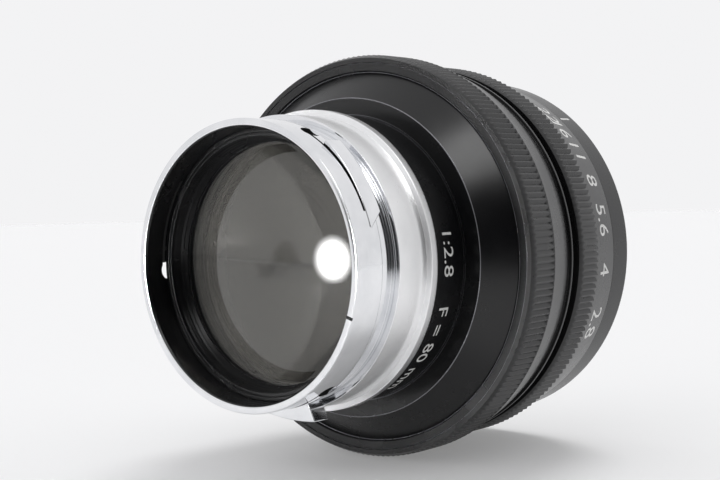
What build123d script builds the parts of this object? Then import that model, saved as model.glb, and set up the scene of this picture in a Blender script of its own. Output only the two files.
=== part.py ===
"""Lens head with a sprung bayonet barrel, a click-stopped aperture ring and a six-blade iris.

Lengths are in millimetres. +Y is the optical axis, from the bayonet end to the filter thread,
and Y = 0 is the seat of the bayonet flange. +Z is up and the lens lies on its side.
Angles are turns about +Y by the right-hand rule, counted from +X.
"""
import os
from math import atan2, cos, degrees, radians, sin, sqrt

from build123d import *

os.makedirs("parts", exist_ok=True)

# overall
GRIP_RADIUS = 36.0
SPIGOT_RADIUS = GRIP_RADIUS * 2 / 3
SPIGOT_LENGTH = 16.8
NECK_LENGTH = 8.6
FIT = 0.03
RUNNING = 0.05
END_GAP = 0.15
BEVEL = 0.2

# bayonet barrel
BAND_RADIUS = SPIGOT_RADIUS + 0.8
FLANGE_RADIUS = BAND_RADIUS + 1.0
FLANGE_LENGTH = 1.7
BARREL_BORE = SPIGOT_RADIUS - 1.4
RIM_INNER = SPIGOT_RADIUS - 1.05
RIM_Y = -SPIGOT_LENGTH
GROOVE_START_Y = RIM_Y + 6.3
LEDGE_RADIUS = SPIGOT_RADIUS - 0.5
GROOVE_RADIUS = SPIGOT_RADIUS - 0.8
GROOVE_STEP_Y = GROOVE_START_Y + 2.4
BAND_START_Y = GROOVE_START_Y + 3.3
LUG_HOLE_ANGLE = -63.0
LUG_HOLE_RADIUS = 1.6
LUG_FRONT_Y = RIM_Y + 4.4
LUG_WIDTH = 3.5
LUG_BACK_Y = LUG_FRONT_Y + LUG_WIDTH
LUG_HOLE_Y = LUG_FRONT_Y + 0.8
SLIT_WIDTH = 0.5
SLIT_TURN = 42.0
LUG_START_ANGLE = -53.5
LUG_TURN = 39.0
LUG_RADIUS = SPIGOT_RADIUS + 0.12
LUG_KICKS = (0.7, 3.2, 0.7)
LUG_KICK_POWER = 1.3
LUG_COUNT = len(LUG_KICKS)
LUG_KICK_TURN = 26.0
LUG_POINT_SLANT = 38.7
LUG_STEPS = 12
NICK_ANGLE = 19.0
NICK_RADIUS = 0.45

# neck, cone and grip
NECK_RADIUS = FLANGE_RADIUS - 0.7
NECK_PLUG = NECK_RADIUS - 0.5
SHOULDER_Y = FLANGE_LENGTH + NECK_LENGTH
SHOULDER_RADIUS = NECK_RADIUS + 3.1
BARREL_SOCKET_Y = SHOULDER_Y - 2.3
LAND_RADIUS = GRIP_RADIUS - 1.4
LAND_LENGTH = 1.7
CONE_RADIUS = LAND_RADIUS - 1.7
CONE_END_Y = SHOULDER_Y + CONE_RADIUS - SHOULDER_RADIUS
CONE_STEP = 0.5
FACE_Y = CONE_END_Y - CONE_STEP
TUBE_RADIUS = LAND_RADIUS - 1.6
SHELL_BORE = TUBE_RADIUS - 1.5
GRIP_Y = FACE_Y - END_GAP
GRIP_KNURL_LENGTH = 6.65
GRIP_TEETH = 200
GRIP_DEPTH = 0.4
CREST_SHARE = 0.16
GRIP_TAIL_RADIUS = GRIP_RADIUS - 1.25
GRIP_END_Y = GRIP_Y + GRIP_KNURL_LENGTH + 5.2
COLLAR_RADIUS = TUBE_RADIUS + 0.85
COLLAR_LIP_RADIUS = TUBE_RADIUS + 1.4
COLLAR_LIP = 0.5
TUBE_END_Y = GRIP_END_Y + 3.5

# aperture ring and the sleeve that it runs on
SLEEVE_RADIUS = SHELL_BORE - FIT
SLEEVE_START_Y = FACE_Y + 4.5
SLEEVE_BORE = SLEEVE_RADIUS - 1.87
SLEEVE_LIP_RADIUS = SLEEVE_BORE - 2.6
RING_Y = TUBE_END_Y + 2.2
RING_KNURL_LENGTH = 6.2
SCALE_LENGTH = 9.2
RING_END_Y = RING_Y + RING_KNURL_LENGTH + SCALE_LENGTH
RING_TEETH = 188
RING_DEPTH = 0.4
RING_RADIUS = GRIP_RADIUS - 1.15
THRUST_RADIUS = RING_RADIUS - 2.45
SCALE_START_RADIUS = RING_RADIUS - 0.75
FILTER_RADIUS = RING_RADIUS - 2.31
SCALE_END_RADIUS = FILTER_RADIUS + 0.16
STOP_ANGLES = (23.5, 6.0, -9.4, -22.2, -32.8, -41.2, -48.5)
RING_TRAVEL = STOP_ANGLES[0] - STOP_ANGLES[-1]
DRIVE_ANGLE = 150.0
DRIVE_Y = RING_Y + 8.1
DRIVE_RADIUS = 1.0
DRIVE_SINK = 0.5
SLOT_SPARE_TURN = 0.5
DETENT_Y = RING_END_Y - 2.8
BALL_RADIUS = 1.0
SPRING_THICKNESS = 0.3
SPRING_WIDTH = 2.6
SPRING_TURN = 44.0
SPRING_SCREW_TURN = 36.0
SPRING_SCREW_RADIUS = 0.7

# iris
BLADE_COUNT = 6
BLADE_THICKNESS = 0.15
BLADE_PITCH = 0.25
BLADE_RATIO = 0.34
BLADE_SWING = RING_TRAVEL * BLADE_RATIO
PIVOT_RADIUS = SLEEVE_BORE - 4.1
ARM_LENGTH = PIVOT_RADIUS * 0.235
PIN_RADIUS = 0.6
SMALLEST_RADIUS = 1.87
OPEN_RADIUS = 2 * PIVOT_RADIUS * sin(radians(BLADE_SWING / 2)) + SMALLEST_RADIUS
BLADE_OUTER = PIVOT_RADIUS - 2.2
BLADE_TURN = 124.0
BLADE_FIRST_TURN = 2.0
BLADE_STEPS = 24
TAB_RADIUS = 1.5
IRIS_BASE_HOLE = OPEN_RADIUS + 0.1
PLATE = 1.2
STACK_GAP = 0.2
STACK_Y = RING_Y + 0.4
IRIS_BASE_Y = STACK_Y - STACK_GAP - PLATE
CAM_Y = STACK_Y + BLADE_COUNT * BLADE_PITCH + STACK_GAP / 2
CAM_HOLE = OPEN_RADIUS + 1.3
CAM_SKIRT_INNER = SLEEVE_BORE - 1.7
CAM_END_Y = DRIVE_Y + 2.0
DRIVE_TIP = CAM_SKIRT_INNER + 0.1
SNAP_THICKNESS = 0.85
SLOT_POINTS = 13
SLOT_OVERRUN = 0.02

# lens cells
CELL_START_Y = RIM_Y + 4.6
REAR_THREAD = BARREL_BORE - 0.75
REAR_GLASS_RADIUS = REAR_THREAD - 0.95
REAR_CLEAR = REAR_GLASS_RADIUS - 0.7
REAR_LIP = REAR_CLEAR + BEVEL / 4
REAR_GLASS_Y = tuple(CELL_START_Y + step for step in (3.3, 6.3, 8.3, 11.3, 14.3))
REAR_CURVES = tuple(REAR_GLASS_RADIUS * share for share in (-3.45, 5.74, 4.31, 2.87, 3.83))
CELL_END_Y = REAR_GLASS_Y[-1] + 0.9
BAFFLE_THROAT = REAR_CLEAR - 0.8
BAFFLE_LENGTH = 5.0
FRONT_CELL_RADIUS = CAM_SKIRT_INNER - 1.4
FRONT_CELL_Y = CAM_Y + PLATE + 0.9
FRONT_FLANGE_RADIUS = SLEEVE_BORE - 1.1
FRONT_FLANGE_Y = RING_END_Y - 1.2
FRONT_CELL_END_Y = FRONT_FLANGE_Y + 2.8
PAIR_RADIUS = FRONT_CELL_RADIUS - 6.5
PAIR_CLEAR = PAIR_RADIUS - 0.8
PAIR_Y = tuple(FRONT_CELL_Y + step for step in (0.6, 3.1, 5.2))
PAIR_CURVES = tuple(PAIR_RADIUS * share for share in (3.0, 2.25, 2.5))
PAIR_THREAD = PAIR_RADIUS + 0.55
PAIR_RING_LENGTH = 1.4
FRONT_GLASS_RADIUS = FRONT_CELL_RADIUS - 2.5
FRONT_CLEAR = FRONT_GLASS_RADIUS - 1.1
FRONT_GLASS_Y = tuple(FRONT_CELL_Y + step for step in (7.0, 8.6))
FRONT_CURVES = tuple(FRONT_GLASS_RADIUS * share for share in (3.75, 2.9))
FRONT_THREAD = FRONT_GLASS_RADIUS + 1.0
FRONT_RING_LENGTH = 3.4
SPANNER_SLOT = 1.6
SPANNER_DEPTH = 1.0

# filter ring
FILTER_THREAD = FILTER_RADIUS - 1.54
FILTER_STEP_Y = RING_END_Y + 1.7
FILTER_SPIGOT_Y = RING_END_Y - 1.3
FRONT_Y = RING_END_Y + 5.4


def turned(*points):
    return revolve(make_face(Polyline(*points, close=True)), Axis.Y, 360)


def disc(radius, start, end):
    return Pos(0, (start + end) / 2, 0) * Rot(90, 0, 0) * Cylinder(radius, end - start)


def around(turn, shape):
    return Rot(0, turn, 0) * shape


def spoke(radius, inner, outer, height, turn):
    rod = Rot(0, 90, 0) * Cylinder(radius, outer - inner)
    return around(turn, Pos((inner + outer) / 2, height, 0) * rod)


def arc_slot(inner, outer, start, end, first, sweep):
    face = make_face(Polyline((inner, start), (outer, start), (outer, end), (inner, end), close=True))
    return around(first, revolve(face, Axis.Y, sweep))


def place(radius, turn, height):
    return (radius * cos(radians(turn)), height, -radius * sin(radians(turn)))


def prism(points, start, end):
    face = make_face(Polyline(*[(x, start, z) for x, z in points], close=True))
    return extrude(face, amount=end - start, dir=(0, 1, 0))


def knurled(teeth, tip, depth, start, end):
    step = 360 / teeth
    points = []
    for tooth in range(teeth):
        for radius, part in ((tip, 0), (tip, CREST_SHARE), (tip - depth, (1 + CREST_SHARE) / 2)):
            x, _, z = place(radius, (tooth + part) * step, 0)
            points.append((x, z))
    return prism(points, start, end)


def outlined(*curves):
    return make_face([edge for curve in curves for edge in curve.edges()])


def sag(curve, radius):
    size = abs(curve)
    return (size - sqrt(size * size - radius * radius)) * (1 if curve > 0 else -1)


def glass(edge, clear, first_y, first_curve, last_y, last_curve):
    """Each curve is positive where the middle of its surface stands towards +Y."""
    first = sag(first_curve, clear)
    last = sag(last_curve, clear)
    half = clear / 2
    first_half = first - sag(first_curve, half)
    last_half = last - sag(last_curve, half)
    face = outlined(
        ThreePointArc((0, first_y + first), (half, first_y + first_half), (clear, first_y)),
        Polyline((clear, first_y), (edge, first_y), (edge, last_y), (clear, last_y)),
        ThreePointArc((clear, last_y), (half, last_y + last_half), (0, last_y + last)),
        Line((0, last_y + last), (0, first_y + first)),
    )
    return revolve(face, Axis.Y, 360)


def bayonet_barrel():
    body = turned(
        (BARREL_BORE, RIM_Y + (RIM_INNER - BARREL_BORE)), (RIM_INNER, RIM_Y),
        (SPIGOT_RADIUS - BEVEL, RIM_Y), (SPIGOT_RADIUS, RIM_Y + BEVEL),
        (SPIGOT_RADIUS, GROOVE_START_Y), (LEDGE_RADIUS, GROOVE_START_Y + SPIGOT_RADIUS - LEDGE_RADIUS),
        (LEDGE_RADIUS, GROOVE_STEP_Y), (GROOVE_RADIUS, GROOVE_STEP_Y + BEVEL),
        (GROOVE_RADIUS, BAND_START_Y), (BAND_RADIUS - BEVEL, BAND_START_Y),
        (BAND_RADIUS, BAND_START_Y + BEVEL), (BAND_RADIUS, 0), (FLANGE_RADIUS, 0),
        (FLANGE_RADIUS, FLANGE_LENGTH - BEVEL), (FLANGE_RADIUS - BEVEL, FLANGE_LENGTH),
        (SPIGOT_RADIUS, FLANGE_LENGTH), (SPIGOT_RADIUS, BARREL_SOCKET_Y), (BARREL_BORE, BARREL_SOCKET_Y),
    )
    for lug, kick in enumerate(LUG_KICKS):
        body += around(lug * 360 / LUG_COUNT, bayonet_lug(kick))
    for lug in range(LUG_COUNT):
        turn = lug * 360 / LUG_COUNT + LUG_HOLE_ANGLE
        body -= spoke(LUG_HOLE_RADIUS, BARREL_BORE - 1, SPIGOT_RADIUS + 1, LUG_HOLE_Y, turn)
        slit_start = LUG_FRONT_Y - SLIT_WIDTH
        body -= arc_slot(BARREL_BORE - 1, SPIGOT_RADIUS + 1, slit_start, LUG_FRONT_Y, turn, SLIT_TURN)
    body -= spoke(NICK_RADIUS, RIM_INNER + BEVEL * 2, SPIGOT_RADIUS + 1, RIM_Y, NICK_ANGLE)
    return body


def lug_height(turned_by, kick):
    left = max(0.0, 1 - turned_by / LUG_KICK_TURN)
    return LUG_RADIUS + kick * left ** LUG_KICK_POWER


def bayonet_lug(kick):
    points = []
    for step in range(LUG_STEPS + 1):
        part = LUG_TURN * step / LUG_STEPS
        x, _, z = place(lug_height(part, kick), LUG_START_ANGLE + part, 0)
        points.append((x, z))
    for step in range(LUG_STEPS, -1, -1):
        x, _, z = place((BARREL_BORE + SPIGOT_RADIUS) / 2, LUG_START_ANGLE + LUG_TURN * step / LUG_STEPS, 0)
        points.append((x, z))
    pad = prism(points, LUG_FRONT_Y, LUG_BACK_Y)
    height = (LUG_FRONT_Y + LUG_BACK_Y) / 2
    size = LUG_BACK_Y - LUG_FRONT_Y
    half_point = degrees(sin(radians(LUG_POINT_SLANT)) * size / 2 / LUG_RADIUS)
    cutter = Rot(LUG_POINT_SLANT, 0, 0) * Pos(0, 0, -size) * Box(size * 2, size * 4, size * 2)
    return pad - around(LUG_START_ANGLE + LUG_TURN - half_point, Pos(LUG_RADIUS + 1, height, 0) * cutter)


def neck_tube():
    inner = SPIGOT_RADIUS + FIT
    return turned(
        (inner, FLANGE_LENGTH), (NECK_RADIUS - BEVEL, FLANGE_LENGTH), (NECK_RADIUS, FLANGE_LENGTH + BEVEL),
        (NECK_RADIUS, SHOULDER_Y), (NECK_PLUG, SHOULDER_Y), (NECK_PLUG, FACE_Y), (BARREL_BORE, FACE_Y),
        (BARREL_BORE, BARREL_SOCKET_Y), (inner, BARREL_SOCKET_Y),
    )


def cone_shell():
    inner = NECK_PLUG + FIT
    wall = TUBE_RADIUS - SHELL_BORE
    return turned(
        (inner, SHOULDER_Y), (SHOULDER_RADIUS, SHOULDER_Y), (CONE_RADIUS, CONE_END_Y),
        (CONE_RADIUS + CONE_STEP / 2, FACE_Y), (LAND_RADIUS, FACE_Y), (LAND_RADIUS, FACE_Y + LAND_LENGTH),
        (TUBE_RADIUS, FACE_Y + LAND_LENGTH), (TUBE_RADIUS, TUBE_END_Y), (SHELL_BORE, TUBE_END_Y),
        (SHELL_BORE, SLEEVE_START_Y), (SHOULDER_RADIUS, FACE_Y + wall), (inner, FACE_Y + wall),
    )


def grip_ring():
    knurl_end = GRIP_Y + GRIP_KNURL_LENGTH
    land_end = FACE_Y + LAND_LENGTH + FIT
    ring = knurled(GRIP_TEETH, GRIP_RADIUS, GRIP_DEPTH, GRIP_Y, knurl_end)
    ring += turned((TUBE_RADIUS + FIT, knurl_end), (GRIP_RADIUS, knurl_end),
                   (GRIP_TAIL_RADIUS, GRIP_END_Y), (TUBE_RADIUS + FIT, GRIP_END_Y))
    ring -= disc(LAND_RADIUS + FIT, GRIP_Y - 1, land_end)
    return ring - disc(TUBE_RADIUS + FIT, GRIP_Y - 1, GRIP_END_Y + 1)


def rear_collar():
    lip_start = TUBE_END_Y - COLLAR_LIP
    return turned(
        (TUBE_RADIUS + FIT, GRIP_END_Y), (GRIP_TAIL_RADIUS - BEVEL / 2, GRIP_END_Y),
        (COLLAR_RADIUS, lip_start), (COLLAR_LIP_RADIUS, lip_start),
        (COLLAR_LIP_RADIUS, TUBE_END_Y), (TUBE_RADIUS + FIT, TUBE_END_Y),
    )


def main_sleeve():
    thrust_end = RING_Y - END_GAP
    sleeve = turned(
        (SLEEVE_LIP_RADIUS, SLEEVE_START_Y + BEVEL), (SLEEVE_RADIUS, SLEEVE_START_Y + BEVEL),
        (SLEEVE_RADIUS, TUBE_END_Y), (THRUST_RADIUS, TUBE_END_Y), (THRUST_RADIUS, thrust_end),
        (SLEEVE_RADIUS, thrust_end), (SLEEVE_RADIUS, RING_END_Y + END_GAP),
        (SLEEVE_BORE, RING_END_Y + END_GAP), (SLEEVE_BORE, IRIS_BASE_Y),
        (SLEEVE_LIP_RADIUS, IRIS_BASE_Y),
    )
    spare = degrees((DRIVE_RADIUS + RUNNING) / SLEEVE_BORE) + SLOT_SPARE_TURN
    half = DRIVE_RADIUS + RUNNING
    sleeve -= arc_slot(SLEEVE_BORE - 1, SLEEVE_RADIUS + 1, DRIVE_Y - half, DRIVE_Y + half,
                       DRIVE_ANGLE - RING_TRAVEL - spare, RING_TRAVEL + 2 * spare)
    sleeve -= spoke(BALL_RADIUS + RUNNING, SLEEVE_BORE - 1, SLEEVE_RADIUS + 1, DETENT_Y, STOP_ANGLES[-1])
    screw_turn = STOP_ANGLES[-1] + SPRING_SCREW_TURN
    return sleeve - spoke(SPRING_SCREW_RADIUS, SLEEVE_BORE - 1, SLEEVE_RADIUS + 1, DETENT_Y, screw_turn)


def aperture_ring():
    knurl_end = RING_Y + RING_KNURL_LENGTH
    bore = SLEEVE_RADIUS + RUNNING
    ring = knurled(RING_TEETH, RING_RADIUS, RING_DEPTH, RING_Y, knurl_end)
    ring += turned((bore, knurl_end), (SCALE_START_RADIUS, knurl_end),
                   (SCALE_END_RADIUS, RING_END_Y - BEVEL), (SCALE_END_RADIUS - BEVEL, RING_END_Y),
                   (bore, RING_END_Y))
    ring -= disc(bore, RING_Y - 1, RING_END_Y + 1)
    for turn in STOP_ANGLES:
        ring -= around(turn, Pos(bore - BALL_RADIUS / 2, DETENT_Y, 0) * Sphere(BALL_RADIUS))
    return ring - spoke(DRIVE_RADIUS, bore - 1, RING_RADIUS + 1, DRIVE_Y, DRIVE_ANGLE)


def drive_screw():
    share = (DRIVE_Y - RING_Y - RING_KNURL_LENGTH) / (RING_END_Y - RING_Y - RING_KNURL_LENGTH)
    outer = SCALE_START_RADIUS + (SCALE_END_RADIUS - SCALE_START_RADIUS) * share - DRIVE_SINK
    screw = spoke(DRIVE_RADIUS, DRIVE_TIP, outer, DRIVE_Y, DRIVE_ANGLE)
    slot = Pos(outer, DRIVE_Y, 0) * Box(DRIVE_SINK, DRIVE_RADIUS * 3, DRIVE_RADIUS / 2)
    return screw - around(DRIVE_ANGLE, slot)


def ball_centre():
    return SLEEVE_RADIUS - BALL_RADIUS - RUNNING / 2


def detent_ball():
    return around(STOP_ANGLES[-1], Pos(ball_centre(), DETENT_Y, 0) * Sphere(BALL_RADIUS))


def detent_spring():
    outer = ball_centre() - BALL_RADIUS
    inner = outer - SPRING_THICKNESS
    start = DETENT_Y - SPRING_WIDTH / 2
    end = DETENT_Y + SPRING_WIDTH / 2
    first = STOP_ANGLES[-1] - (SPRING_TURN - SPRING_SCREW_TURN)
    strip = arc_slot(inner, outer, start, end, first, SPRING_TURN + SPRING_TURN - SPRING_SCREW_TURN)
    foot_turn = degrees(SPRING_WIDTH / SLEEVE_BORE)
    strip += arc_slot(inner, SLEEVE_BORE, start, end, STOP_ANGLES[-1] + SPRING_SCREW_TURN - foot_turn / 2,
                      foot_turn)
    screw_turn = STOP_ANGLES[-1] + SPRING_SCREW_TURN
    return strip - spoke(SPRING_SCREW_RADIUS, inner - 1, SLEEVE_BORE + 1, DETENT_Y, screw_turn)


def detent_screw():
    inner = ball_centre() - BALL_RADIUS - SPRING_THICKNESS
    turn = STOP_ANGLES[-1] + SPRING_SCREW_TURN
    screw = spoke(SPRING_SCREW_RADIUS, inner, SLEEVE_RADIUS - BEVEL, DETENT_Y, turn)
    head = spoke(SPRING_SCREW_RADIUS * 1.6, inner - SPRING_THICKNESS * 1.5, inner - FIT, DETENT_Y, turn)
    return screw + head + spoke(SPRING_SCREW_RADIUS, inner - FIT, inner, DETENT_Y, turn)


def iris_base():
    outer = SLEEVE_BORE - FIT
    start = IRIS_BASE_Y
    end = start + PLATE
    plate = disc(outer, start, end) - disc(IRIS_BASE_HOLE, start - 1, end + 1)
    for blade in range(BLADE_COUNT):
        x, _, z = place(PIVOT_RADIUS, blade * 360 / BLADE_COUNT, 0)
        plate -= Pos(x, 0, z) * disc(PIN_RADIUS + RUNNING, start - 1, end + 1)
    return plate


def turned_about(point, centre, turn):
    dx = point[0] - centre[0]
    dy = point[1] - centre[1]
    c = cos(radians(turn))
    s = sin(radians(turn))
    return (centre[0] + dx * c - dy * s, centre[1] + dx * s + dy * c)


def arm_turn(share):
    """Direction of the arm from pivot to follower pin: 0 is the smallest opening, 1 the largest."""
    return 90 + BLADE_SWING / 2 - BLADE_SWING * share


def follower(share):
    turn = radians(arm_turn(share))
    return (PIVOT_RADIUS + ARM_LENGTH * cos(turn), ARM_LENGTH * sin(turn))


def flat_prism(outline, start, end):
    """Outline points run in the plane of the blades, with +X across and turns counted about +Y."""
    return prism([(x, -y) for x, y in outline], start, end)


def closed_blade_outline():
    pivot = (PIVOT_RADIUS, 0)
    turns = [BLADE_FIRST_TURN + (BLADE_TURN - BLADE_FIRST_TURN) * step / BLADE_STEPS
             for step in range(BLADE_STEPS + 1)]
    points = [(OPEN_RADIUS * cos(radians(turn)), OPEN_RADIUS * sin(radians(turn))) for turn in turns]
    points += [(BLADE_OUTER * cos(radians(turn)), BLADE_OUTER * sin(radians(turn))) for turn in turns[::-1]]
    return [turned_about(point, pivot, BLADE_SWING) for point in points]


def blade_tab(start, end):
    pivot = (PIVOT_RADIUS, 0)
    pin = follower(0)
    tab = Pos(pivot[0], 0, 0) * disc(TAB_RADIUS, start, end)
    tab += Pos(pin[0], 0, -pin[1]) * disc(TAB_RADIUS, start, end)
    length = ARM_LENGTH
    side = ((pin[1] - pivot[1]) / length * TAB_RADIUS, (pivot[0] - pin[0]) / length * TAB_RADIUS)
    root = turned_about((BLADE_OUTER - TAB_RADIUS, TAB_RADIUS * 2), pivot, BLADE_SWING)
    tip = turned_about((BLADE_OUTER - TAB_RADIUS * 2, ARM_LENGTH * 1.6), pivot, BLADE_SWING)
    outline = [
        (pivot[0] + side[0], pivot[1] + side[1]), (pin[0] + side[0], pin[1] + side[1]),
        tip, root, (pivot[0] - side[0], pivot[1] - side[1]),
    ]
    return tab + flat_prism(outline, start, end)


def iris_blade(index):
    start = STACK_Y + BLADE_PITCH * index
    end = start + BLADE_THICKNESS
    blade = flat_prism(closed_blade_outline(), start, end) + blade_tab(start, end)
    pin = follower(0)
    blade += Pos(PIVOT_RADIUS, 0, 0) * disc(PIN_RADIUS, IRIS_BASE_Y + BEVEL, start)
    blade += Pos(pin[0], 0, -pin[1]) * disc(PIN_RADIUS, end, CAM_Y + PLATE - BEVEL)
    return around(index * 360 / BLADE_COUNT, blade)


def cam_track():
    points = []
    for step in range(SLOT_POINTS):
        share = (1 + 2 * SLOT_OVERRUN) * step / (SLOT_POINTS - 1) - SLOT_OVERRUN
        points.append(turned_about(follower(share), (0, 0), RING_TRAVEL * share))
    return points


def cam_slot(start, end):
    track = cam_track()
    half = PIN_RADIUS + RUNNING
    left = []
    right = []
    for step, point in enumerate(track):
        before = track[max(step - 1, 0)]
        after = track[min(step + 1, len(track) - 1)]
        heading = atan2(after[1] - before[1], after[0] - before[0])
        left.append((point[0] - half * sin(heading), start, -(point[1] + half * cos(heading))))
        right.append((point[0] + half * sin(heading), start, -(point[1] - half * cos(heading))))
    face = outlined(Spline(*left), Line(left[-1], right[-1]), Spline(*right[::-1]), Line(right[0], left[0]))
    slot = extrude(face, amount=end - start, dir=(0, 1, 0))
    for x, y in (track[0], track[-1]):
        slot += Pos(x, 0, -y) * disc(half, start, end)
    return slot


def iris_cam_ring():
    start = CAM_Y
    end = start + PLATE
    outer = SLEEVE_BORE - RUNNING
    cam = disc(outer, start, end) - disc(CAM_HOLE, start - 1, end + 1)
    cam += turned((CAM_SKIRT_INNER, end), (outer, end), (outer, CAM_END_Y), (CAM_SKIRT_INNER, CAM_END_Y))
    slot = cam_slot(start - 1, end + 1)
    for blade in range(BLADE_COUNT):
        cam -= around(blade * 360 / BLADE_COUNT, slot)
    width = 2 * DRIVE_RADIUS
    notch = Pos(outer, (DRIVE_Y + CAM_END_Y) / 2 + DRIVE_RADIUS / 2, 0)
    height = CAM_END_Y - DRIVE_Y + DRIVE_RADIUS * 3
    return cam - around(DRIVE_ANGLE, notch * Box((outer - CAM_SKIRT_INNER) * 3, height, width + 2 * FIT))


def iris_snap_ring():
    start = CAM_END_Y + END_GAP
    ring = disc(SLEEVE_BORE - FIT, start, start + SNAP_THICKNESS)
    ring -= disc(FRONT_CELL_RADIUS + FIT, start - 1, start + SNAP_THICKNESS + 1)
    gap = Pos(SLEEVE_BORE, start, 0) * Box(SLEEVE_BORE / 2, SNAP_THICKNESS * 3, SNAP_THICKNESS * 3)
    return ring - around(DRIVE_ANGLE + 180, gap)


def spanner_cuts(inner, outer, face_y, depth):
    cuts = []
    for turn in (0, 180):
        middle = (inner + outer) / 2
        bar = Pos(middle, face_y, 0) * Box((outer - inner) * 3, depth * 2, SPANNER_SLOT)
        cuts.append(around(turn, bar))
    return cuts


def rear_cell():
    start = CELL_START_Y
    outer = BARREL_BORE - FIT
    bore = REAR_GLASS_RADIUS + FIT
    return turned(
        (REAR_THREAD, start), (outer, start), (outer, CELL_END_Y), (REAR_LIP, CELL_END_Y),
        (REAR_LIP, REAR_GLASS_Y[-1]), (bore, REAR_GLASS_Y[-1]), (bore, REAR_GLASS_Y[0]),
        (REAR_THREAD, REAR_GLASS_Y[0]),
    )


def rear_retaining_ring():
    outer = REAR_THREAD - FIT
    end = REAR_GLASS_Y[0]
    inner = REAR_CLEAR + BEVEL / 2
    ring = turned((outer - BEVEL * 3, CELL_START_Y), (outer, CELL_START_Y), (outer, end), (inner, end),
                  (inner, end - BEVEL))
    for cut in spanner_cuts(inner, outer, CELL_START_Y, SPANNER_DEPTH):
        ring -= cut
    return ring


def rear_element():
    return glass(REAR_GLASS_RADIUS, REAR_CLEAR, REAR_GLASS_Y[0], REAR_CURVES[0],
                 REAR_GLASS_Y[1], REAR_CURVES[1])


def rear_spacer():
    inner = REAR_CLEAR + BEVEL / 2
    return turned((inner, REAR_GLASS_Y[1]), (REAR_GLASS_RADIUS, REAR_GLASS_Y[1]),
                  (REAR_GLASS_RADIUS, REAR_GLASS_Y[2]), (inner, REAR_GLASS_Y[2]))


def rear_pair_near():
    return glass(REAR_GLASS_RADIUS, REAR_CLEAR, REAR_GLASS_Y[2], REAR_CURVES[2],
                 REAR_GLASS_Y[3], REAR_CURVES[3])


def rear_pair_far():
    return glass(REAR_GLASS_RADIUS, REAR_CLEAR, REAR_GLASS_Y[3], REAR_CURVES[3],
                 REAR_GLASS_Y[4], REAR_CURVES[4])


def rear_baffle():
    outer = BARREL_BORE - FIT
    return turned((BAFFLE_THROAT, CELL_END_Y), (outer, CELL_END_Y), (outer, CELL_END_Y + BAFFLE_LENGTH),
                  (outer - 1, CELL_END_Y + BAFFLE_LENGTH), (BAFFLE_THROAT, CELL_END_Y + 1))


def front_cell():
    pair_bore = PAIR_RADIUS + FIT
    glass_bore = FRONT_GLASS_RADIUS + FIT
    lip = FRONT_CLEAR
    thread_end = PAIR_Y[2] + PAIR_RING_LENGTH + BEVEL
    outer = FRONT_FLANGE_RADIUS - FIT
    return turned(
        (PAIR_CLEAR - BEVEL, FRONT_CELL_Y), (FRONT_CELL_RADIUS, FRONT_CELL_Y),
        (FRONT_CELL_RADIUS, FRONT_FLANGE_Y), (outer, FRONT_FLANGE_Y),
        (outer, FRONT_CELL_END_Y - BEVEL), (outer - BEVEL, FRONT_CELL_END_Y),
        (FRONT_THREAD, FRONT_CELL_END_Y), (FRONT_THREAD, FRONT_GLASS_Y[1]),
        (glass_bore, FRONT_GLASS_Y[1]), (glass_bore, FRONT_GLASS_Y[0]), (lip, FRONT_GLASS_Y[0]),
        (PAIR_THREAD, thread_end), (PAIR_THREAD, PAIR_Y[2]), (pair_bore, PAIR_Y[2]),
        (pair_bore, PAIR_Y[0]), (PAIR_CLEAR - BEVEL, PAIR_Y[0]),
    )


def front_pair_near():
    return glass(PAIR_RADIUS, PAIR_CLEAR, PAIR_Y[0], PAIR_CURVES[0], PAIR_Y[1], PAIR_CURVES[1])


def front_pair_far():
    return glass(PAIR_RADIUS, PAIR_CLEAR, PAIR_Y[1], PAIR_CURVES[1], PAIR_Y[2], PAIR_CURVES[2])


def pair_retaining_ring():
    outer = PAIR_THREAD - FIT
    inner = PAIR_CLEAR + BEVEL / 2
    end = PAIR_Y[2] + PAIR_RING_LENGTH
    ring = turned((inner, PAIR_Y[2]), (outer, PAIR_Y[2]), (outer, end), (inner + BEVEL, end))
    for cut in spanner_cuts(inner, outer, end, SPANNER_DEPTH / 2):
        ring -= cut
    return ring


def front_element():
    return glass(FRONT_GLASS_RADIUS, FRONT_CLEAR, FRONT_GLASS_Y[0], FRONT_CURVES[0],
                 FRONT_GLASS_Y[1], FRONT_CURVES[1])


def front_retaining_ring():
    outer = FRONT_THREAD - FIT
    inner = FRONT_CLEAR + BEVEL / 2
    end = FRONT_GLASS_Y[1] + FRONT_RING_LENGTH
    ring = turned((inner, FRONT_GLASS_Y[1]), (outer, FRONT_GLASS_Y[1]), (outer, end),
                  (inner + 1, end), (inner, FRONT_GLASS_Y[1] + BEVEL))
    for cut in spanner_cuts(inner + 1, outer, end, SPANNER_DEPTH):
        ring -= cut
    return ring


def filter_ring():
    web_y = RING_END_Y + END_GAP
    spigot = SLEEVE_BORE - FIT
    return turned(
        (FRONT_FLANGE_RADIUS, FILTER_SPIGOT_Y), (spigot, FILTER_SPIGOT_Y), (spigot, web_y),
        (FILTER_RADIUS - BEVEL, web_y), (FILTER_RADIUS, web_y + BEVEL),
        (FILTER_RADIUS, FRONT_Y - BEVEL), (FILTER_RADIUS - BEVEL, FRONT_Y),
        (FILTER_THREAD + BEVEL, FRONT_Y), (FILTER_THREAD, FRONT_Y - BEVEL),
        (FILTER_THREAD, FILTER_STEP_Y), (FRONT_FLANGE_RADIUS, FILTER_STEP_Y),
    )


def save(name, shape):
    solids = shape.solids()
    body = solids[0] if len(solids) == 1 else Compound(children=list(solids))
    export_step(body, f"parts/{name}.step")


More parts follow.
